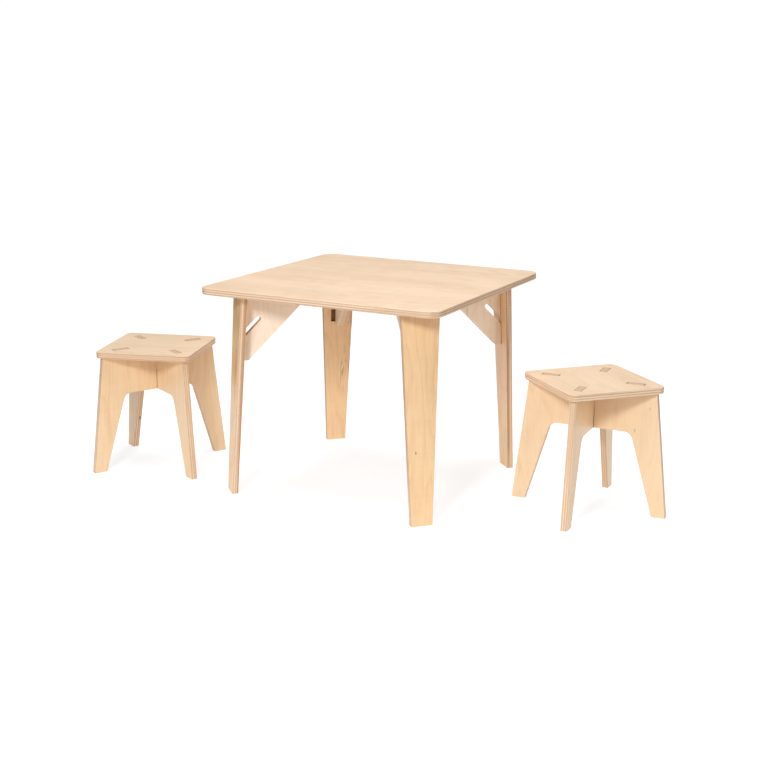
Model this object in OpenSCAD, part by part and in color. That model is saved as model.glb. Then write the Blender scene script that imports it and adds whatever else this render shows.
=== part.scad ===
// Child's square play table with a matching pair of stools, cut from one thickness of plywood.
// Every piece plugs into its neighbour with plain tenons, and the stool panels cross in a half lap.
// Origin: middle of the table, on the floor. +X and +Y run along the sides of the table top.

/* [Board] */
// Thickness of the plywood that every piece is cut from
ply_t = 15; // [12:0.5:18]
// Play left on each side of a tenon in its mortise
joint_play = 0.2; // [0.1:0.05:0.3]

/* [Table top] */
// Side of the square table top
top_w = 610; // [580:5:680]
// Radius of the table top's corners
top_corner_r = 32; // [10:1:60]
// Height of the table
table_h = 500; // [470:5:560]

/* [Table legs] */
// Centre of the table to a leg's outer face, level with the underside of the top
leg_reach_top = 336; // [320:1:345]
// Centre of the table to a leg's outer face, on the floor
leg_reach_foot = 364; // [346:1:380]
// Width of a leg under the top
leg_w_top = 89; // [70:1:110]
// Width of a leg on the floor
leg_w_foot = 50; // [40:1:69]

/* [Table gussets] */
// Length of a gusset along the underside of the top
gusset_run = 170; // [150:1:190]
// Distance that a gusset reaches down its leg
gusset_drop = 163; // [150:1:165]
// Width of the slanted slot in a gusset
slot_w = 12; // [8:1:14]
// Distance from a gusset's long edge to the middle of its slot
slot_inset = 52; // [45:1:60]
// Length of the slot, from its rounded end to the leg
slot_len = 60; // [40:1:66]
// Width of the open gap beside a gusset's lower tenon
gap_w = 12; // [0.5:0.5:14]

/* [Stools] */
// Side of the square seat
seat_w = 240; // [236:1:260]
// Radius of the seat's corners
seat_corner_r = 16; // [8:1:20]
// Height of a stool
stool_h = 308; // [290:1:312]
// Centre of the stool to a leg's outer edge, under the seat
panel_reach_top = 151; // [140:1:155]
// Centre of the stool to a leg's outer edge, on the floor
panel_reach_foot = 185; // [170:1:195]
// Width of a stool leg on the floor
panel_foot_w = 32; // [25:1:40]
// Height of the arch between two legs
arch_h = 195; // [170:1:200]
// Half the width of the arch, measured at its crown where the sides would meet the top
arch_half_w = 95; // [80:1:100]
// Radius of the arch's upper corners
arch_r = 22; // [10:1:40]
// Length of a tenon that shows in the seat
seat_tenon_w = 40; // [30:1:50]
// Centre of the stool to the middle of a seat tenon
seat_tenon_reach = 100; // [85:1:105]

/* [Places] */
// Left stool's middle, along X and Y, and its turn
left_place = [-548, -140, 17.5];
// Right stool's middle, along X and Y, and its turn
right_place = [540, 48, -42.5];

/* [Hidden] */
$fn = 96;
eps = 1;                                  // overreach of a cutting shape
top_under = table_h - ply_t;              // underside of the table top
splay = (leg_reach_foot - leg_reach_top) / top_under;   // outward lean of a table leg
leg_t = ply_t * sqrt(1 + splay * splay);  // a leaning board's thickness, measured level
blind_h = 8;                              // length of a blind tenon
blind_t = 10;                             // thickness of a blind tenon
blind_floor = 0.4;                        // space left beyond a blind tenon's end
leg_tenon_w = 50;                         // width of the tenon on top of a leg
gusset_tenon_w = 70;                      // width of the tenon on top of a gusset
side_tenon_w = 32;                        // width of a tenon on a gusset's leg edge
side_tenon_drops = [28, 120];             // top of each leg-edge tenon, below the table's underside
seat_under = stool_h - ply_t;             // underside of the seat
lap_z = (arch_h + seat_under) / 2;        // level where the two stool panels interlock
arch_lean = (panel_reach_foot - panel_foot_w - arch_half_w) / arch_h;   // lean of the arch's sides

// ---- helpers ----

// Square with round corners, centred
module rounded_square(w, r) {
    square([w, w - 2 * r], center = true);
    square([w - 2 * r, w], center = true);
    for (x = [-1, 1], y = [-1, 1])
        translate([x * (w / 2 - r), y * (w / 2 - r)]) circle(r);
}

// Stands a flat outline up in the plane of X and Z, with its thickness shared about that plane
module upright(t) {
    rotate([90, 0, 0]) linear_extrude(t, center = true) children();
}

// Turns a piece drawn along +X onto one of the table's four diagonals
module on_diagonal(quarter) {
    rotate(-135 + 90 * quarter) children();
}

// Distance from the table's centre to a leg's inner face, at a given drop below the top
function inner_face(drop) = leg_reach_top - leg_t + splay * drop;

// ---- table ----

// Tenon on top of a leg, or its mortise when it is given play
module leg_tenon(play = 0) {
    mid = leg_reach_top - leg_t / 2;
    translate([mid - blind_t / 2 - play, -leg_tenon_w / 2 - play, top_under - eps])
        cube([blind_t + 2 * play, leg_tenon_w + 2 * play, blind_h + eps + (play > 0 ? blind_floor : 0)]);
}

// Tenon on top of a gusset, or its mortise
module gusset_top_tenon(play = 0) {
    mid = inner_face(0) - gusset_run / 2;
    translate([mid - gusset_tenon_w / 2 - play, -blind_t / 2 - play, top_under - eps])
        cube([gusset_tenon_w + 2 * play, blind_t + 2 * play, blind_h + eps + (play > 0 ? blind_floor : 0)]);
}

// Tenons on the edge of a gusset that meets its leg, or their mortises
module gusset_side_tenons(play = 0) {
    for (drop = side_tenon_drops)
        translate([inner_face(drop) - eps, -blind_t / 2 - play, top_under - drop - side_tenon_w - play])
            cube([eps + blind_h + (play > 0 ? blind_floor : 0), blind_t + 2 * play, side_tenon_w + 2 * play]);
}

// Open part of a leg's lower mortise, which is wider than its tenon on one side
module mortise_gap() {
    drop = side_tenon_drops[1];
    past_tenon = (ply_t - blind_t) / 2;
    translate([inner_face(drop) - eps, blind_t / 2, top_under - drop - side_tenon_w - joint_play])
        cube([eps + blind_h + blind_floor, past_tenon + gap_w, side_tenon_w + 2 * joint_play]);
}

module table_top() {
    color("burlywood")
        difference() {
            translate([0, 0, top_under]) linear_extrude(ply_t) rounded_square(top_w, top_corner_r);
            for (quarter = [0:3])
                on_diagonal(quarter) {
                    leg_tenon(joint_play);
                    gusset_top_tenon(joint_play);
                }
        }
}

// Tapered leg that leans outward along its diagonal
module table_leg(quarter) {
    side_outline = [
        [leg_reach_top, top_under], [leg_reach_top - leg_t, top_under],
        [leg_reach_foot - leg_t, 0], [leg_reach_foot, 0]
    ];
    front_outline = [
        [-leg_w_top / 2, top_under], [leg_w_top / 2, top_under],
        [leg_w_foot / 2, 0], [-leg_w_foot / 2, 0]
    ];
    color("tan")
        on_diagonal(quarter)
            difference() {
                union() {
                    intersection() {
                        upright(leg_w_top) polygon(side_outline);
                        rotate([90, 0, 90]) linear_extrude(leg_reach_foot + eps) polygon(front_outline);
                    }
                    leg_tenon();
                }
                gusset_side_tenons(joint_play);
                mortise_gap();
            }
}

// Slanted slot that opens at the leg, drawn in the gusset's own plane
module gusset_slot() {
    edge_sum = inner_face(0) - gusset_run + top_under;    // X + Z all along the long edge
    slot_sum = edge_sum + slot_inset * sqrt(2);
    mouth_x = (inner_face(0) + splay * (top_under - slot_sum)) / (1 - splay);
    translate([mouth_x, slot_sum - mouth_x]) rotate(135) {
        translate([-2 * slot_w, -slot_w / 2]) square([slot_len + 1.5 * slot_w, slot_w]);
        translate([slot_len - slot_w / 2, 0]) circle(slot_w / 2);
    }
}

// Triangular brace between the top and one leg
module gusset(quarter) {
    outline = [
        [inner_face(0), top_under], [inner_face(0) - gusset_run, top_under],
        [inner_face(0) - gusset_run + gusset_drop, top_under - gusset_drop],
        [inner_face(gusset_drop), top_under - gusset_drop]
    ];
    color("wheat")
        on_diagonal(quarter) {
            upright(ply_t) difference() {
                polygon(outline);
                gusset_slot();
            }
            gusset_top_tenon();
            gusset_side_tenons();
        }
}

// ---- stools ----

module stool_place(place) {
    translate([place[0], place[1], 0]) rotate(place[2]) children();
}

// Points along an arc, from one angle to another
function arc(centre, r, from, to, steps = 12) = [
    for (i = [0:steps])
        let (a = from + (to - from) * i / steps) centre + r * [cos(a), sin(a)]
];

// Opening between two legs, with leaning sides and round upper corners
module arch_outline() {
    lean_angle = atan(arch_lean);
    corner = [arch_half_w + arch_lean * arch_r - arch_r / cos(lean_angle), arch_h - arch_r];
    foot_x = arch_half_w + arch_lean * (arch_h + eps);
    polygon(concat(
        [[foot_x, -eps]],
        arc(corner, arch_r, lean_angle, 90),
        arc([-corner[0], corner[1]], arch_r, 90, 180 - lean_angle),
        [[-foot_x, -eps]]
    ));
}

// Two legs in one board, with a tenon over each; the notch lets the other panel cross it
module stool_panel(angle, notch_from, notch_to) {
    notch_w = ply_t + 2 * joint_play;
    outline = [
        [-panel_reach_foot, 0], [-panel_reach_top, seat_under],
        [panel_reach_top, seat_under], [panel_reach_foot, 0]
    ];
    color("navajowhite")
        rotate(angle) {
            upright(ply_t) difference() {
                polygon(outline);
                arch_outline();
                translate([-notch_w / 2, notch_from]) square([notch_w, notch_to - notch_from]);
            }
            for (x = [-1, 1])
                translate([x * seat_tenon_reach - seat_tenon_w / 2, -ply_t / 2, seat_under - eps])
                    cube([seat_tenon_w, ply_t, ply_t + eps]);
        }
}

// Panel whose notch is open below, so it drops over the other one
module upper_panel() {
    stool_panel(45, arch_h - eps, lap_z);
}

// Panel whose notch is open above
module lower_panel() {
    stool_panel(-45, lap_z, seat_under + eps);
}

module stool_seat() {
    mortise = [seat_tenon_w + 2 * joint_play, ply_t + 2 * joint_play];
    color("burlywood")
        translate([0, 0, seat_under]) linear_extrude(ply_t) difference() {
            rounded_square(seat_w, seat_corner_r);
            for (quarter = [0:3])
                rotate(45 + 90 * quarter) translate([seat_tenon_reach, 0]) square(mortise, center = true);
        }
}

table_top();
table_leg(0);  // leg_front_left
table_leg(1);  // leg_front_right
table_leg(2);  // leg_back_right
table_leg(3);  // leg_back_left
gusset(0);  // gusset_front_left
gusset(1);  // gusset_front_right
gusset(2);  // gusset_back_right
gusset(3);  // gusset_back_left
stool_place(left_place) stool_seat();  // left_stool_seat
stool_place(left_place) lower_panel();  // left_stool_lower_panel
stool_place(left_place) upper_panel();  // left_stool_upper_panel
stool_place(right_place) stool_seat();  // right_stool_seat
stool_place(right_place) lower_panel();  // right_stool_lower_panel
stool_place(right_place) upper_panel();  // right_stool_upper_panel
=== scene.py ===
"""A child's plywood play table and its two stools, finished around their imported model.

Every piece is a flat board. Its veneer, plies, glue lines and worn edges are laid out in the
board's own measures: along the grain, across it, and through its thickness.
"""

import math
import random

import bmesh
import bpy
from bpy.props import FloatProperty, FloatVectorProperty, IntProperty, PointerProperty
from mathutils import Matrix, Vector
from mathutils.bvhtree import BVHTree


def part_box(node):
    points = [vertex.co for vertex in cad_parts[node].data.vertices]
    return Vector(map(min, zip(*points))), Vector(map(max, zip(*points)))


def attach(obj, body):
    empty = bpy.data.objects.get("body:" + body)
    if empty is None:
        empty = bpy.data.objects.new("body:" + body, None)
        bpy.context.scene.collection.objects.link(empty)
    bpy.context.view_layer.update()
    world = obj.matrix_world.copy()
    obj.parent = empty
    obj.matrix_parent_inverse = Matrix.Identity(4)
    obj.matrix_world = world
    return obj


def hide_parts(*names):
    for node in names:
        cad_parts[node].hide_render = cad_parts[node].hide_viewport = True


bl_info = {
    "name": "Play Table and Stools",
    "version": (1, 0, 0),
    "blender": (4, 5, 0),
    "location": "3D Viewport > Sidebar > Play Table",
    "description": "Finishes a child's plywood play table and two stools around their packed model",
    "category": "Object",
}

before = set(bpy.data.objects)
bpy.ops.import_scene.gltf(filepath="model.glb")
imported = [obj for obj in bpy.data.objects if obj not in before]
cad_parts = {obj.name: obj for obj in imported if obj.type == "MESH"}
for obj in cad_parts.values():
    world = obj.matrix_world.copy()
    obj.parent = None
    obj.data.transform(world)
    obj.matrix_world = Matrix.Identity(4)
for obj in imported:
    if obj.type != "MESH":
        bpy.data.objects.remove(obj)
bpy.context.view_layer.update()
BOARD_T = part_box("table_top")[1].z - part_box("table_top")[0].z   # the table top lies flat

# Nodes of the frame, by the order in which they go round the table from the front left
LEGS = ["leg_front_left", "leg_front_right", "leg_back_right", "leg_back_left"]
GUSSETS = ["gusset_front_left", "gusset_front_right", "gusset_back_right", "gusset_back_left"]
STOOLS = ["left_stool", "right_stool"]
STOOL_TURNS = [math.radians(17.5), math.radians(-42.5)]   # each stool's own turn; its grain follows

# Board layout
SHARP_TURN = math.radians(25)      # a turn between faces that is an arris, and is eased
SMOOTH_TURN = math.radians(50)     # a turn between faces that is shaded as one surface
FLAT_TURN = math.radians(0.4)      # a turn too small to be anything but one flat face
WELD = 1e-6                        # corners nearer than this are one corner
LOG_LENGTH = 3.0                   # boards are cut from anywhere along a log this long, in metres
TOUCH = 0.0005                     # an arris this near another board lies in a joint
JOINT_REACH = 0.0016               # a sawn face this near another board is part of a joint
LEG_JOINT_REACH = 0.014            # the same, across the open gap beside a gusset's tenon, so the floor of that gap gets painted shade
TENON_REACH = 0.011                # the end of a seat tenon is this near its mortise, or nearer; sawn faces this near another board get a weaker painted shade
TENON_SCORCH_AND_SHADE = 0.30                # how dark the painted shade and scorch on a tenon's end is, beside the sides of its joint
SAWN = 0.98                        # the face of a board faces through it by more than this
VENEER_DEPTH = 0.002               # a face deeper than this in a board is the floor of a mortise

# Plywood: how strongly each mark shows in the wood's colour
TONE_SHOWS = 0.50                  # slow change over a whole board
SWELL_SHOWS = 0.22                 # broad bands of the figure
RING_SHOWS = 0.12                  # thin dark lines along the bands
HAZE_SHOWS = 0.16
FIBRE_SHOWS = 0.55
FLAME_SHOWS = 0.14                 # short ripples across the grain
PORE_SHOWS = 0.30
HEART_SHOWS = 0.85                 # darker stretches in the plies of an edge
GLUE_SHOWS = 0.35
RUB_SHOWS = 0.35
# cutter scorch and painted shade on the faces inside joints
SCORCH_AND_SHADE_SHOWS = 0.92
RINGS = 15                         # rings from the lowest to the highest place of the swell
KNOT_EDGE = 0.034                  # a knot begins this far from its middle, in the knots' own cells
KNOT_CORE = 0.016                  # and is dark all over from here
GLUE_WAVER = 0.0005                # a glue line wanders within this, in metres
RELIEF = 0.00035                   # height of the raised fibre and sunken pores, in metres

# Studio
FLOOR_RADIUS = 1.55                # the floor is a round sheet, whose rim is lost in the light
FLOOR_SIDES = 96
FLOOR_DROP = -0.0004               # the floor lies just under the feet
LIGHT_AIM = Vector((0, 0, 0.30))   # the soft lights are turned towards this point
LIGHTS = [                         # name, power, azimuth and elevation in degrees, distance, side
    ("key_light", "key_power", 279, 28, 3.2, 0.5),
    ("low_light", "low_power", 255, 14, 3.2, 1.5),
    ("side_light", "side_power", 350, 25, 3.2, 1.8),
    ("overhead_light", "overhead_power", 0, 90, 3.0, 2.5),
]
SENSOR_WIDTH = 36                  # of the camera, in millimetres
CAMERA_PLACE = Vector((1.47146, -2.80278, 1.04504))
CAMERA_YAW = math.radians(27.28)
CAMERA_PITCH = math.radians(14.26)
CAMERA_ROLL = math.radians(0.41)


# ---- sizes and colours that a user may change ----


class WoodSettings(bpy.types.PropertyGroup):
    """Colours and finish of the plywood"""

    top_veneer: FloatVectorProperty(
        name="Table top", description="Colour of the table top's veneer", subtype="COLOR",
        size=3, min=0, max=1, default=(0.83, 0.605, 0.415),
    )
    leg_veneer: FloatVectorProperty(
        name="Table legs", description="Colour of the table legs' veneer", subtype="COLOR",
        size=3, min=0, max=1, default=(0.85, 0.565, 0.305),
    )
    gusset_veneer: FloatVectorProperty(
        name="Gussets", description="Colour of the gussets' veneer", subtype="COLOR",
        size=3, min=0, max=1, default=(0.93, 0.77, 0.60),
    )
    seat_veneer: FloatVectorProperty(
        name="Stool seats", description="Colour of the stool seats' veneer", subtype="COLOR",
        size=3, min=0, max=1, default=(0.79, 0.575, 0.38),
    )
    panel_veneer: FloatVectorProperty(
        name="Stool panels", description="Colour of the stool panels' veneer", subtype="COLOR",
        size=3, min=0, max=1, default=(0.80, 0.56, 0.33),
    )
    figure: FloatVectorProperty(
        name="Figure", description="What the darker bands in a veneer make of its colour",
        subtype="COLOR", size=3, min=0, max=1, default=(0.80, 0.69, 0.58),
    )
    streak: FloatVectorProperty(
        name="Streaks", description="Colour of mineral streaks and pin knots", subtype="COLOR",
        size=3, min=0, max=1, default=(0.27, 0.13, 0.055),
    )
    long_ply: FloatVectorProperty(
        name="Long plies", description="Colour of a ply cut along its grain", subtype="COLOR",
        size=3, min=0, max=1, default=(0.90, 0.67, 0.465),
    )
    end_ply: FloatVectorProperty(
        name="End-grain plies", description="Colour of a ply cut across its grain",
        subtype="COLOR", size=3, min=0, max=1, default=(0.74, 0.49, 0.30),
    )
    glue: FloatVectorProperty(
        name="Glue lines", description="Colour of the glue between plies", subtype="COLOR",
        size=3, min=0, max=1, default=(0.26, 0.14, 0.07),
    )
    veneer_t: FloatProperty(
        name="Veneer thickness", description="Thickness of a face veneer", unit="LENGTH",
        min=0.0003, max=0.002, default=0.0008,
    )
    core_plies: IntProperty(
        name="Core plies", description="Number of plies between the face veneers",
        min=3, max=11, default=5,
    )
    roughness: FloatProperty(
        name="Lacquer roughness", description="Roughness of the clear satin lacquer",
        subtype="FACTOR", min=0.1, max=0.9, default=0.40,
    )


class BoardSettings(bpy.types.PropertyGroup):
    """Edges of the boards, and where each is cut from"""

    easing: FloatProperty(
        name="Eased edge", description="Radius sanded onto every edge of a board",
        unit="LENGTH", min=0.0002, max=0.003, default=0.0014,
    )
    joint_easing: FloatProperty(
        name="Eased joint", description="Radius worn onto the edges where two boards meet",
        unit="LENGTH", min=0.0002, max=0.003, default=0.0011,
    )
    easing_steps: IntProperty(
        name="Easing steps", description="Number of flats that make up an eased edge",
        min=1, max=6, default=3,
    )
    seed: IntProperty(
        name="Cut", description="Changes where in the log every board is cut from", default=15,
    )


class StudioSettings(bpy.types.PropertyGroup):
    """Floor, lights and camera"""

    floor: FloatVectorProperty(
        name="Floor", description="Colour of the floor", subtype="COLOR", size=3,
        min=0, max=1, default=(0.40, 0.40, 0.40),
    )
    floor_glow: FloatProperty(
        name="Floor glow", description="Light that the floor gives off, as a lit table does",
        min=0, max=2, default=0.73,
    )
    backdrop: FloatProperty(
        name="Backdrop", description="Brightness of the backdrop behind the floor",
        min=0, max=5, default=1.05,
    )
    surround: FloatProperty(
        name="Surround", description="Strength of the even white light from all round",
        min=0, max=5, default=0.09,
    )
    light_colour: FloatVectorProperty(
        name="Light colour", description="Colour of the soft lights", subtype="COLOR", size=3,
        min=0, max=1, default=(0.86, 0.92, 1.0),
    )
    key_power: FloatProperty(
        name="Key light", description="Power of the soft light in front", unit="POWER",
        min=0, max=1000, default=57,
    )
    low_power: FloatProperty(
        name="Low light", description="Power of the weak light that is low on the left",
        unit="POWER", min=0, max=1000, default=11,
    )
    side_power: FloatProperty(
        name="Side light", description="Power of the weak soft light on the right",
        unit="POWER", min=0, max=1000, default=24,
    )
    overhead_power: FloatProperty(
        name="Overhead light", description="Power of the broad soft light above",
        unit="POWER", min=0, max=1000, default=126,
    )
    lens: FloatProperty(
        name="Lens", description="Focal length of the camera, in millimetres",
        min=20, max=200, default=62.46,
    )


# ---- boards ----


def clear(name):
    """Takes away an earlier piece of that name, so that a button can be pressed again."""
    old = bpy.data.objects.get(name)
    if old is not None:
        bpy.data.objects.remove(old)


def corner_normals(mesh):
    """The normal at each corner of each face, with big faces kept flat and eased edges round."""
    rounds = [[] for _ in mesh.vertices]
    for face in mesh.polygons:
        for vertex in face.vertices:
            rounds[vertex].append(face)
    cos_limit = math.cos(SMOOTH_TURN)
    normals = []
    for face in mesh.polygons:
        for vertex in face.vertices:
            total = Vector()
            for other in rounds[vertex]:
                if face.normal.dot(other.normal) > cos_limit:
                    total += other.normal * other.area
            normals.append(total.normalized())
    return normals


def even_shading(mesh):
    """Shades eased edges as one smooth turn between flat faces."""
    mesh.polygons.foreach_set("use_smooth", [True] * len(mesh.polygons))
    mesh.normals_split_custom_set([tuple(n) for n in corner_normals(mesh)])
    mesh.update()


def board_axes(mesh, grain):
    """Middle of a flat board, and its directions along the grain, across it and through it."""
    face = max(mesh.polygons, key=lambda polygon: polygon.area)
    through = face.normal.copy()
    along = (Vector(grain) - through * through.dot(Vector(grain))).normalized()
    across = through.cross(along)
    axes = Matrix((along, across, through))
    placed = [axes @ vertex.co for vertex in mesh.vertices]
    middle = Vector([(min(p[i] for p in placed) + max(p[i] for p in placed)) / 2 for i in range(3)])
    return axes, middle


def lay_out(mesh, grain, cut):
    """Writes the board's own measures on its mesh: "board" is the place, "facing" the normal."""
    axes, middle = board_axes(mesh, grain)
    place = mesh.attributes.new("board", "FLOAT_VECTOR", "POINT")
    for vertex, value in zip(mesh.vertices, place.data):
        value.vector = axes @ vertex.co - middle + cut
    facing = mesh.attributes.new("facing", "FLOAT_VECTOR", "CORNER")
    for normal, value in zip(corner_normals(mesh), facing.data):
        value.vector = axes @ normal
    return axes, middle


def neighbours(node):
    """The other boards, each as a tree in which the nearest place is found."""
    trees = []
    for name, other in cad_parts.items():
        if name != node:
            corners = [vertex.co for vertex in other.data.vertices]
            faces = [tuple(face.vertices) for face in other.data.polygons]
            trees.append(BVHTree.FromPolygons(corners, faces))
    return trees


def meets(place, trees, reach):
    """Whether any of the boards comes within reach of a place."""
    return any(tree.find_nearest(place, reach)[0] is not None for tree in trees)


def mark_joint_scorch_and_shade(mesh, trees, axes, middle, reach, end_reach):
    """Writes "joint" on the sawn faces that meet another board: the cutter's scorch together with
    painted shade in the joint's gap.

    Sawn faces that are only within end_reach of another board, as a tenon's end is, get less.
    """
    joint = mesh.attributes.new("joint", "FLOAT", "FACE")
    for face, value in zip(mesh.polygons, joint.data):
        depth = abs((axes @ face.center - middle).z)
        sawn = abs((axes @ face.normal).z) < SAWN or depth < BOARD_T / 2 - VENEER_DEPTH
        if sawn and meets(face.center, trees, reach):
            value.value = 1.0
        elif sawn and end_reach and meets(face.center, trees, end_reach):
            value.value = TENON_SCORCH_AND_SHADE


def cut_from_log(name):
    """Where in the log a board comes from: each name gives its own place, the same every time."""
    chance = random.Random(f"{name} {bpy.context.scene.boards.seed}")
    return Vector((chance.uniform(0, LOG_LENGTH), chance.uniform(0, LOG_LENGTH), 0))


def eased_board(node, grain, joint_reach=JOINT_REACH, end_reach=None):
    """The mesh of a frame node as a clean board with its edges eased and its grain laid out."""
    settings = bpy.context.scene.boards
    trees = neighbours(node)
    mesh = bpy.data.meshes.new(f"{node}_board")
    board = bmesh.new()
    board.from_mesh(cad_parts[node].data)
    bmesh.ops.remove_doubles(board, verts=board.verts, dist=WELD)
    bmesh.ops.dissolve_limit(
        board, angle_limit=FLAT_TURN, verts=board.verts, edges=board.edges
    )
    for in_joint, easing in ((True, settings.joint_easing), (False, settings.easing)):
        arrises = [
            edge for edge in board.edges
            if edge.is_manifold and edge.is_convex and edge.calc_face_angle() > SHARP_TURN
            and in_joint == meets((edge.verts[0].co + edge.verts[1].co) / 2, trees, TOUCH)
        ]
        bmesh.ops.bevel(
            board, geom=arrises, offset=easing, offset_type="OFFSET",
            segments=settings.easing_steps, profile=0.5, affect="EDGES", clamp_overlap=True,
            miter_inner="SHARP", miter_outer="SHARP",
        )
    bmesh.ops.recalc_face_normals(board, faces=board.faces)
    board.to_mesh(mesh)
    board.free()
    axes, middle = lay_out(mesh, grain, cut_from_log(node))
    mark_joint_scorch_and_shade(mesh, trees, axes, middle, joint_reach, end_reach)
    return mesh


def put_up(name, mesh, body, nodes):
    """Makes a finished piece of a mesh: it rides on its body and stands for its nodes."""
    clear(name)
    even_shading(mesh)
    piece = bpy.data.objects.new(name, mesh)
    bpy.context.scene.collection.objects.link(piece)
    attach(piece, body)
    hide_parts(*nodes)
    return piece


# ---- the repeat round the table ----


def round_the_table():
    """Tree that sets copies of one board evenly round the upright axis, each cut anew."""
    tree = bpy.data.node_groups.get("Round the Table")
    if tree is not None:
        return tree
    tree = bpy.data.node_groups.new("Round the Table", "GeometryNodeTree")
    tree.interface.new_socket("Board", in_out="INPUT", socket_type="NodeSocketGeometry")
    for name, kind, value in (
        ("Count", "NodeSocketInt", 4),
        ("Log Length", "NodeSocketFloat", LOG_LENGTH),
        ("Seed", "NodeSocketInt", 0),
    ):
        tree.interface.new_socket(name, in_out="INPUT", socket_type=kind).default_value = value
    tree.interface.new_socket("Wood", in_out="INPUT", socket_type="NodeSocketMaterial")
    tree.interface.new_socket("Boards", in_out="OUTPUT", socket_type="NodeSocketGeometry")

    def add(kind, settings=None, **inputs):
        made = tree.nodes.new(kind)
        for key, value in (settings or {}).items():
            setattr(made, key, value)
        for key, value in inputs.items():
            socket = made.inputs[key.replace("_", " ")]
            if isinstance(value, bpy.types.NodeSocket):
                tree.links.new(value, socket)
            else:
                socket.default_value = value
        return made

    given = add("NodeGroupInput").outputs
    number = add("GeometryNodeInputIndex").outputs[0]
    share = add("ShaderNodeMath", {"operation": "DIVIDE"})
    tree.links.new(number, share.inputs[0])
    tree.links.new(given["Count"], share.inputs[1])
    turn = add("ShaderNodeMath", {"operation": "MULTIPLY"})
    tree.links.new(share.outputs[0], turn.inputs[0])
    turn.inputs[1].default_value = math.tau
    turned = add("ShaderNodeCombineXYZ", Z=turn.outputs[0])
    places = add("GeometryNodePoints", Count=given["Count"])
    copies = add(
        "GeometryNodeInstanceOnPoints", Points=places.outputs[0], Instance=given["Board"],
        Rotation=turned.outputs[0],
    )
    chance = add("FunctionNodeRandomValue", {"data_type": "FLOAT_VECTOR"})
    reach = add("ShaderNodeCombineXYZ", X=given["Log Length"], Y=given["Log Length"])
    chance.inputs["Min"].default_value = (0, 0, 0)
    tree.links.new(reach.outputs[0], chance.inputs["Max"])
    tree.links.new(given["Seed"], chance.inputs["Seed"])
    cut = add(
        "GeometryNodeStoreNamedAttribute", {"data_type": "FLOAT_VECTOR", "domain": "INSTANCE"},
        Geometry=copies.outputs[0], Name="cut", Value=chance.outputs[0],
    )
    real = add("GeometryNodeRealizeInstances", Geometry=cut.outputs[0])
    old = add("GeometryNodeInputNamedAttribute", {"data_type": "FLOAT_VECTOR"}, Name="board")
    shift = add("GeometryNodeInputNamedAttribute", {"data_type": "FLOAT_VECTOR"}, Name="cut")
    moved = add("ShaderNodeVectorMath", {"operation": "ADD"})
    tree.links.new(old.outputs[0], moved.inputs[0])
    tree.links.new(shift.outputs[0], moved.inputs[1])
    laid = add(
        "GeometryNodeStoreNamedAttribute", {"data_type": "FLOAT_VECTOR", "domain": "POINT"},
        Geometry=real.outputs[0], Name="board", Value=moved.outputs[0],
    )
    wood = add("GeometryNodeSetMaterial", Geometry=laid.outputs[0], Material=given["Wood"])
    add("NodeGroupOutput", Boards=wood.outputs[0])
    return tree


def repeated(mesh, count, seed, wood):
    """One plain mesh of that many boards round the table."""
    tree = round_the_table()
    pattern = bpy.data.objects.new("pattern", mesh)
    bpy.context.scene.collection.objects.link(pattern)
    repeat = pattern.modifiers.new("Round the table", "NODES")
    repeat.node_group = tree
    keys = {item.name: item.identifier for item in tree.interface.items_tree}
    repeat[keys["Count"]] = count
    repeat[keys["Seed"]] = seed
    repeat[keys["Wood"]] = wood
    depsgraph = bpy.context.evaluated_depsgraph_get()
    boards = bpy.data.meshes.new_from_object(
        pattern.evaluated_get(depsgraph), preserve_all_data_layers=True, depsgraph=depsgraph
    )
    bpy.data.objects.remove(pattern)
    return boards


# ---- plywood ----


class Amount:
    """A number that changes over a surface. A sum on it adds the Math node that it stands for."""

    def __init__(self, finish, socket):
        self.finish = finish
        self.socket = socket

    def math(self, operation, *terms):
        return self.finish.node("ShaderNodeMath", {"operation": operation}, dict(enumerate(terms)))

    def __add__(self, other):
        return self.math("ADD", self, other)

    def __radd__(self, other):
        return self.math("ADD", other, self)

    def __sub__(self, other):
        return self.math("SUBTRACT", self, other)

    def __rsub__(self, other):
        return self.math("SUBTRACT", other, self)

    def __mul__(self, other):
        return self.math("MULTIPLY", self, other)

    def __rmul__(self, other):
        return self.math("MULTIPLY", other, self)

    def __truediv__(self, other):
        return self.math("DIVIDE", self, other)

    def __mod__(self, other):
        return self.math("FLOORED_MODULO", self, other)

    def __gt__(self, other):
        return self.math("GREATER_THAN", self, other)

    def __lt__(self, other):
        return self.math("LESS_THAN", self, other)

    def __abs__(self):
        return self.math("ABSOLUTE", self)

    def __floor__(self):
        return self.math("FLOOR", self)


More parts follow.
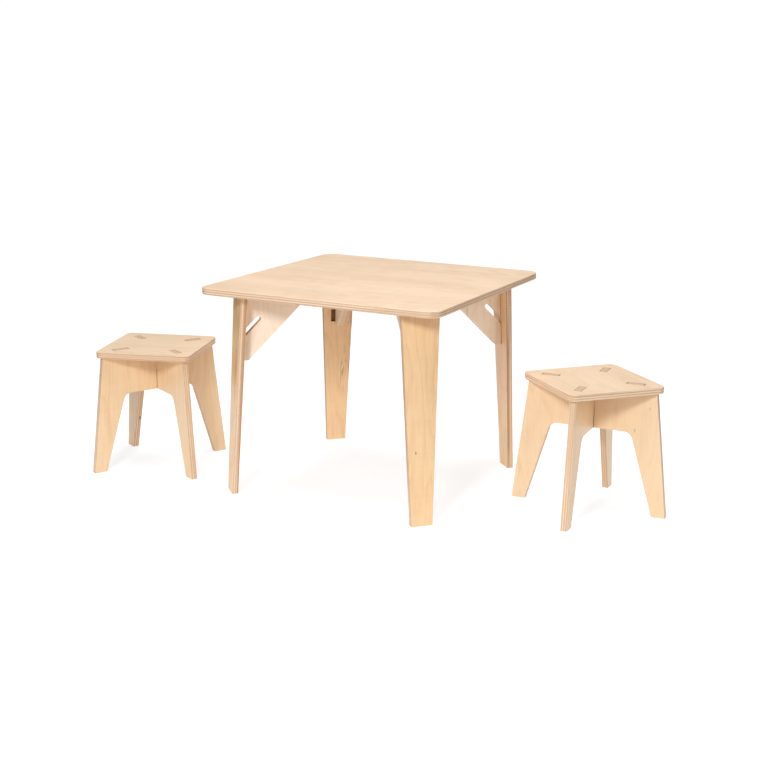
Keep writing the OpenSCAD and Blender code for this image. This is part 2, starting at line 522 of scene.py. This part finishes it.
class Finish:
    """The finish of a material or of the world, put together node by node."""

    def __init__(self, kinds, name):
        self.owner = kinds.get(name) or kinds.new(name)
        self.owner.use_nodes = True
        self.tree = self.owner.node_tree
        self.tree.nodes.clear()

    def node(self, kind, settings=None, inputs=None, output=0):
        """Adds a node: its settings come first, then the values or links of its sockets."""
        made = self.tree.nodes.new(kind)
        for key, value in (settings or {}).items():
            setattr(made, key, value)
        for key, value in (inputs or {}).items():
            if isinstance(value, Amount):
                self.tree.links.new(value.socket, made.inputs[key])
            else:
                made.inputs[key].default_value = value
        return Amount(self, made.outputs[output]) if made.outputs else None

    def attribute(self, name, output="Vector"):
        """A measure that was written on the mesh."""
        return self.node("ShaderNodeAttribute", {"attribute_name": name}, output=output)

    def parts(self, vector):
        """The three numbers of a vector."""
        apart = self.node("ShaderNodeSeparateXYZ", inputs={0: vector})
        return [Amount(self, socket) for socket in apart.socket.node.outputs]

    def place(self, x, y, z):
        """A place in a pattern, from three numbers."""
        return self.node("ShaderNodeCombineXYZ", inputs={0: x, 1: y, 2: z})

    def noise(self, place, detail=2.0, roughness=0.5, distortion=0.0):
        """Soft random mottle at a place in a pattern."""
        return self.node(
            "ShaderNodeTexNoise", {"noise_dimensions": "3D"},
            {"Vector": place, "Scale": 1.0, "Detail": detail, "Roughness": roughness,
             "Distortion": distortion},
        )

    def ease(self, value, low, high):
        """0 up to low, 1 from high, and a smooth rise between them. Low may be above high."""
        return self.node(
            "ShaderNodeMapRange", {"interpolation_type": "SMOOTHSTEP"},
            {"Value": value, "From Min": low, "From Max": high},
        )

    def choose(self, share, first, second):
        """A number that goes from first to second with share."""
        return self.node(
            "ShaderNodeMix", {"data_type": "FLOAT"}, {0: share, 2: first, 3: second}
        )

    def tint(self, share, first, second):
        """A colour that goes from first to second with share."""
        first, second = [c if isinstance(c, Amount) else (*c, 1.0) for c in (first, second)]
        return self.node(
            "ShaderNodeMix", {"data_type": "RGBA"}, {0: share, 6: first, 7: second}, output=2
        )


def shaded(colour, share):
    """A colour with each part, or all of it, multiplied."""
    shares = share if hasattr(share, "__len__") else (share,) * 3
    return tuple(min(1.0, part * by) for part, by in zip(colour, shares))


def plywood(name, face, streaks):
    """Birch plywood under satin lacquer. It is solid, so a cut at any angle shows its plies."""
    settings = bpy.context.scene.wood
    figure = shaded(face, settings.figure)
    wood = Finish(bpy.data.materials, name)
    along_board, across_board, through = wood.parts(wood.attribute("board"))
    facing_along, facing_across, facing_through = wood.parts(wood.attribute("facing"))

    # plies: the veneers and every second core ply have their grain along the board
    waver = wood.noise(
        wood.place(along_board * 25, across_board * 25, through * 40), detail=1.0
    )
    level = through + (waver - 0.5) * GLUE_WAVER
    core_t = (BOARD_T - 2 * settings.veneer_t) / settings.core_plies
    depth = (level + (BOARD_T / 2 - settings.veneer_t)) / core_t
    in_core = (depth > 0) * (depth < settings.core_plies)
    ply = math.floor(depth)
    crosswise = in_core * (1 - ply % 2)
    along = wood.choose(crosswise, along_board, across_board)
    across = wood.choose(crosswise, across_board, along_board)
    end_cut = wood.ease(
        abs(wood.choose(crosswise, facing_along, facing_across)), 0.35, 0.85
    )
    on_edge = wood.ease(abs(facing_through), 0.80, 0.45)

    # veneer: contours of a long slow swell, as a rotary cut shows them
    own = ply * 3.71
    swell = wood.noise(wood.place(along * 1.5, across * 9, own), detail=2.5, roughness=0.45)
    rings = (swell * RINGS) % 1
    ring_line = wood.ease(rings, 0.45, 0.96) * wood.ease(rings, 1.0, 0.95)
    fibre = wood.noise(
        wood.place(along * 16, across * 420, through * 420 + own), detail=3.0, roughness=0.62
    )
    haze = wood.noise(wood.place(along * 4, across * 30, own), detail=2.0)
    flame = wood.noise(
        wood.place(along * 55, across * 9, own), detail=1.5, distortion=0.6
    )
    pore = wood.ease(
        wood.noise(wood.place(along * 130, across * 1900, through * 1900 + own), detail=1.0),
        0.66, 0.74,
    )
    streak_place = wood.noise(wood.place(along * 2.6, across * 17, own + 5.3), detail=1.0)
    streak_line = wood.noise(
        wood.place(along * 9, across * 190, own + 9.1), detail=2.0, distortion=1.2
    )
    streak = (
        wood.ease(streak_place, 0.60, 0.70) * wood.ease(streak_line, 0.57, 0.68) * streaks
    )
    knot_cell = wood.node(
        "ShaderNodeTexVoronoi", {"feature": "F1", "voronoi_dimensions": "3D"},
        {"Vector": wood.place(along * 5, across * 11, own), "Scale": 1.0}, output="Distance",
    )
    knot = wood.ease(knot_cell, KNOT_EDGE, KNOT_CORE) * streaks

    tone = wood.noise(wood.place(along_board * 0.6, across_board * 0.6, 2.7), detail=0.0)
    figured = (tone - 0.5) * TONE_SHOWS + wood.ease(swell, 0.25, 0.75) * SWELL_SHOWS
    figured = figured + ring_line * RING_SHOWS + haze * HAZE_SHOWS
    figured = figured + (fibre - 0.5) * FIBRE_SHOWS + (0.5 - flame) * FLAME_SHOWS
    veneer = wood.tint(wood.ease(figured, -0.05, 0.85), shaded(face, 1.06), figure)
    veneer = wood.tint(pore * PORE_SHOWS, veneer, shaded(figure, 0.9))
    veneer = wood.tint(wood.ease(streak + knot * 1.3, 0.0, 1.0), veneer, settings.streak)

    # edges: pale where a ply runs with the cut, dark where it is cut through, with gaps and glue
    ply_tone = wood.noise(wood.place(ply * 7.3, along * 2.2, across * 2.2), detail=1.0)
    heart = wood.ease(
        wood.noise(wood.place(ply * 5.9 + 3.1, along_board * 1.7, across_board * 1.7), detail=1.0),
        0.50, 0.58,
    )
    long_ply = wood.tint(
        wood.ease(fibre * 0.7 + ply_tone * 0.6, 0.40, 0.95), settings.long_ply,
        shaded(settings.long_ply, (0.86, 0.80, 0.74)),
    )
    end_ply = wood.tint(
        wood.ease(fibre * 0.8 + ply_tone * 0.5, 0.40, 0.95), settings.end_ply,
        shaded(settings.end_ply, (0.80, 0.72, 0.64)),
    )
    cut = wood.tint(end_cut, long_ply, end_ply)
    heartwood = shaded(settings.end_ply, (0.62, 0.46, 0.34))
    cut = wood.tint(heart * streaks * HEART_SHOWS, cut, heartwood)
    nearest_glue = abs(((depth + 0.5) % 1) - 0.5)
    outer_glue = abs(abs(level) - (BOARD_T / 2 - settings.veneer_t))
    under_veneer = wood.ease(outer_glue, 0.0004, 0.0001)
    glue = wood.ease(nearest_glue, 0.075, 0.02) * GLUE_SHOWS + under_veneer * GLUE_SHOWS
    gap_line = wood.noise(
        wood.place(along_board * 26, across_board * 26, ply * 13.3), detail=1.5
    )
    gap = wood.ease(gap_line, 0.75, 0.765) * in_core
    cut = wood.tint(glue, cut, settings.glue)
    cut = wood.tint(gap, cut, shaded(settings.glue, 0.5))

    colour = wood.tint(on_edge * in_core, veneer, cut)

    # handling: the eased edges are rubbed duller and a little darker
    flatness = abs(facing_through)
    arris = wood.ease(flatness, 0.10, 0.45) * wood.ease(flatness, 0.99, 0.80)
    rubbed = arris * wood.ease(
        wood.noise(wood.place(along_board * 30, across_board * 30, through * 60), detail=3.0),
        0.35, 0.75,
    )
    colour = wood.tint(rubbed * RUB_SHOWS, colour, shaded(figure, 0.9))

    # joints: the cutter's scorch with painted shade in the gaps and recesses, more in some places
    # than in others
    scorch_and_shade = wood.attribute("joint", "Fac") * wood.ease(
        wood.noise(wood.place(along_board * 14, across_board * 14, through * 60), detail=2.0),
        0.05, 0.45,
    )
    # colour of the painted joint shade and scorch
    scorch_and_shade_colour = shaded(settings.glue, (0.80, 0.58, 0.30))
    colour = wood.tint(scorch_and_shade * SCORCH_AND_SHADE_SHOWS, colour, scorch_and_shade_colour)

    smear = wood.noise(
        wood.place(along_board * 7, across_board * 9, through * 9), detail=3.0, roughness=0.6
    )
    roughness = settings.roughness + (smear - 0.5) * 0.16 + (fibre - 0.5) * 0.10
    roughness = roughness + on_edge * 0.16 + rubbed * 0.12 + gap * 0.2
    height = fibre * 0.30 - pore * 0.35 - streak * 0.2 - ring_line * 0.08
    height = height - on_edge * (glue * 0.5 + gap * 2.5) + on_edge * end_cut * fibre * 0.5
    bumped = wood.node(
        "ShaderNodeBump",
        inputs={"Strength": 0.55, "Distance": RELIEF, "Height": height},
    )
    coat = 0.22 - on_edge * 0.12 - rubbed * 0.08
    surface = wood.node(
        "ShaderNodeBsdfPrincipled",
        inputs={
            "Base Color": colour, "Roughness": roughness, "Normal": bumped, "Coat Weight": coat,
            "Coat Roughness": 0.22, "IOR": 1.5,
        },
    )
    wood.node("ShaderNodeOutputMaterial", inputs={"Surface": surface})
    return wood.owner


# ---- operators ----


class PLAYTABLE_OT_top(bpy.types.Operator):
    """Make the square table top"""

    bl_idname = "playtable.top"
    bl_label = "Table Top"

    def execute(self, context):
        mesh = eased_board("table_top", grain=(1, 0, 0))
        mesh.materials.append(plywood("top_plywood", context.scene.wood.top_veneer, streaks=0.25))
        put_up("table_top_board", mesh, "table", ["table_top"])
        return {"FINISHED"}


class PLAYTABLE_OT_legs(bpy.types.Operator):
    """Make the four leaning legs"""

    bl_idname = "playtable.legs"
    bl_label = "Table Legs"

    def execute(self, context):
        wood = plywood("leg_plywood", context.scene.wood.leg_veneer, streaks=1.0)
        leg = eased_board(LEGS[0], grain=(0, 0, 1), joint_reach=LEG_JOINT_REACH)
        legs = repeated(leg, len(LEGS), context.scene.boards.seed, wood)
        put_up("table_leg_boards", legs, "table", LEGS)
        return {"FINISHED"}


class PLAYTABLE_OT_gussets(bpy.types.Operator):
    """Make the four slotted gussets"""

    bl_idname = "playtable.gussets"
    bl_label = "Table Gussets"

    def execute(self, context):
        wood = plywood("gusset_plywood", context.scene.wood.gusset_veneer, streaks=0.5)
        gusset = eased_board(GUSSETS[0], grain=(0, 0, 1))
        gussets = repeated(gusset, len(GUSSETS), context.scene.boards.seed + 1, wood)
        put_up("table_gusset_boards", gussets, "table", GUSSETS)
        return {"FINISHED"}


class PLAYTABLE_OT_seats(bpy.types.Operator):
    """Make the seats of both stools"""

    bl_idname = "playtable.seats"
    bl_label = "Stool Seats"

    def execute(self, context):
        wood = plywood("seat_plywood", context.scene.wood.seat_veneer, streaks=0.4)
        for stool, turn in zip(STOOLS, STOOL_TURNS):
            node = f"{stool}_seat"
            mesh = eased_board(node, grain=(math.cos(turn), math.sin(turn), 0))
            mesh.materials.append(wood)
            put_up(f"{node}_board", mesh, stool, [node])
        return {"FINISHED"}


class PLAYTABLE_OT_stool_panels(bpy.types.Operator):
    """Make the two crossing leg panels of both stools"""

    bl_idname = "playtable.stool_panels"
    bl_label = "Stool Panels"

    def execute(self, context):
        wood = plywood("panel_plywood", context.scene.wood.panel_veneer, streaks=0.35)
        for stool in STOOLS:
            for panel in ("lower_panel", "upper_panel"):
                node = f"{stool}_{panel}"
                mesh = eased_board(node, grain=(0, 0, 1), end_reach=TENON_REACH)
                mesh.materials.append(wood)
                put_up(f"{node}_board", mesh, stool, [node])
        return {"FINISHED"}


class PLAYTABLE_OT_studio(bpy.types.Operator):
    """Make the pale floor, the soft light and the camera"""

    bl_idname = "playtable.studio"
    bl_label = "Studio"

    def execute(self, context):
        settings = context.scene.studio
        self.floor(settings)
        self.surround(context.scene, settings)
        for name, power, *place in LIGHTS:
            self.light(name, *place, getattr(settings, power))
        self.camera(context.scene, settings)
        context.scene.view_settings.view_transform = "Standard"
        return {"FINISHED"}

    def floor(self, settings):
        """A pale round sheet that gives off some light, so that shadows on it stay faint."""
        clear("floor")
        finish = Finish(bpy.data.materials, "pale_floor")
        surface = finish.node(
            "ShaderNodeBsdfPrincipled",
            inputs={
                "Base Color": (*settings.floor, 1), "Roughness": 0.9, "Specular IOR Level": 0.1,
                "Emission Color": (1, 1, 1, 1), "Emission Strength": settings.floor_glow,
            },
        )
        finish.node("ShaderNodeOutputMaterial", inputs={"Surface": surface})
        mesh = bpy.data.meshes.new("floor")
        turns = [math.tau * side / FLOOR_SIDES for side in range(FLOOR_SIDES)]
        rim = [(FLOOR_RADIUS * math.cos(t), FLOOR_RADIUS * math.sin(t), FLOOR_DROP) for t in turns]
        mesh.from_pydata(rim, [], [range(FLOOR_SIDES)])
        mesh.materials.append(finish.owner)
        floor = bpy.data.objects.new("floor", mesh)
        bpy.context.scene.collection.objects.link(floor)

    def surround(self, scene, settings):
        """White all round: bright where it is seen, and soft where it lights the table."""
        world = Finish(bpy.data.worlds, "surround")
        seen = world.node("ShaderNodeLightPath", output="Is Camera Ray")
        strength = seen * (settings.backdrop - settings.surround) + settings.surround
        light = world.node(
            "ShaderNodeBackground", inputs={"Color": (1, 1, 1, 1), "Strength": strength}
        )
        world.node("ShaderNodeOutputWorld", inputs={"Surface": light})
        scene.world = world.owner

    def light(self, name, azimuth, elevation, distance, side, power):
        """A square soft light that is turned towards the table."""
        clear(name)
        lamp = bpy.data.lights.new(name, "AREA")
        lamp.shape = "SQUARE"
        lamp.size = side
        lamp.energy = power
        lamp.color = bpy.context.scene.studio.light_colour
        panel = bpy.data.objects.new(name, lamp)
        turn, rise = math.radians(azimuth), math.radians(elevation)
        towards = Vector(
            (math.cos(rise) * math.cos(turn), math.cos(rise) * math.sin(turn), math.sin(rise))
        )
        panel.location = LIGHT_AIM + towards * distance
        panel.rotation_euler = towards.to_track_quat("Z", "Y").to_euler()
        panel.visible_camera = False
        bpy.context.scene.collection.objects.link(panel)

    def camera(self, scene, settings):
        """The scene's camera, which looks down on the table from its front right."""
        clear("camera")
        view = bpy.data.cameras.new("camera")
        view.sensor_width = SENSOR_WIDTH
        view.lens = settings.lens
        camera = bpy.data.objects.new("camera", view)
        turn = (
            Matrix.Rotation(CAMERA_YAW, 4, "Z")
            @ Matrix.Rotation(math.radians(90) - CAMERA_PITCH, 4, "X")
            @ Matrix.Rotation(CAMERA_ROLL, 4, "Z")
        )
        camera.matrix_world = Matrix.Translation(CAMERA_PLACE) @ turn
        scene.collection.objects.link(camera)
        scene.camera = camera


class PLAYTABLE_PT_panel(bpy.types.Panel):
    """Settings and pieces of the play table"""

    bl_label = "Play Table"
    bl_idname = "PLAYTABLE_PT_panel"
    bl_space_type = "VIEW_3D"
    bl_region_type = "UI"
    bl_category = "Play Table"

    def draw(self, context):
        layout = self.layout
        for title, group in (
            ("Wood", context.scene.wood),
            ("Boards", context.scene.boards),
            ("Studio", context.scene.studio),
        ):
            box = layout.box()
            box.label(text=title)
            for name in group.__annotations__:
                box.prop(group, name)
        for operator in PIECES:
            layout.operator(operator.bl_idname)


PIECES = [
    PLAYTABLE_OT_top,
    PLAYTABLE_OT_legs,
    PLAYTABLE_OT_gussets,
    PLAYTABLE_OT_seats,
    PLAYTABLE_OT_stool_panels,
    PLAYTABLE_OT_studio,
]
CLASSES = [WoodSettings, BoardSettings, StudioSettings, *PIECES, PLAYTABLE_PT_panel]


def register():
    for made in CLASSES:
        bpy.utils.register_class(made)
    bpy.types.Scene.wood = PointerProperty(type=WoodSettings)
    bpy.types.Scene.boards = PointerProperty(type=BoardSettings)
    bpy.types.Scene.studio = PointerProperty(type=StudioSettings)


def unregister():
    del bpy.types.Scene.studio
    del bpy.types.Scene.boards
    del bpy.types.Scene.wood
    for made in reversed(CLASSES):
        bpy.utils.unregister_class(made)


def main():
    register()
    bpy.ops.playtable.top()
    bpy.ops.playtable.legs()
    bpy.ops.playtable.gussets()
    bpy.ops.playtable.seats()
    bpy.ops.playtable.stool_panels()
    bpy.ops.playtable.studio()


if __name__ == "__main__":
    main()
